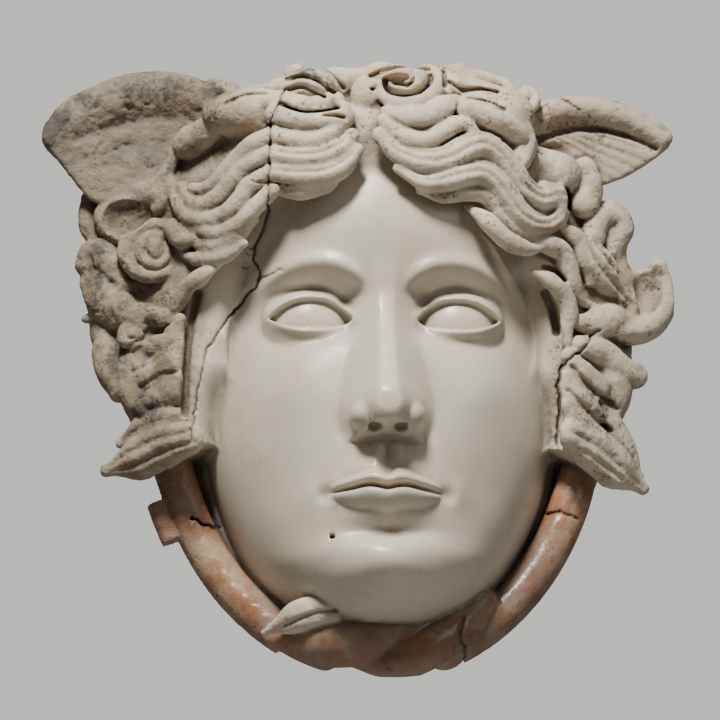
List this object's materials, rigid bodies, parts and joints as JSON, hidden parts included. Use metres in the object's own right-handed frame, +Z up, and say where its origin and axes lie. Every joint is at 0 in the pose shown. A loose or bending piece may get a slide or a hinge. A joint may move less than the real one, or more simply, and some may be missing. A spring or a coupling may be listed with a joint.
{
  "type": "winged gorgon mask relief",
  "caption": "Marble relief mask of a winged gorgon face with curling hair and snakes knotted under the chin, flat behind for fixing to a wall.",
  "frame": {"origin": "near the middle of the flat back, where the mask is fixed to a wall", "axes": "+Z up, the face looks towards -Y, +X is to the right of someone who looks at the face"},
  "size_m": [0.4147, 0.1554, 0.4011],
  "materials": {
    "marble": "worn and weathered, face smoother than the hair"
  },
  "bodies": {
    "root": {"gorgon_mask": "marble"}
  },
  "joints": []
}
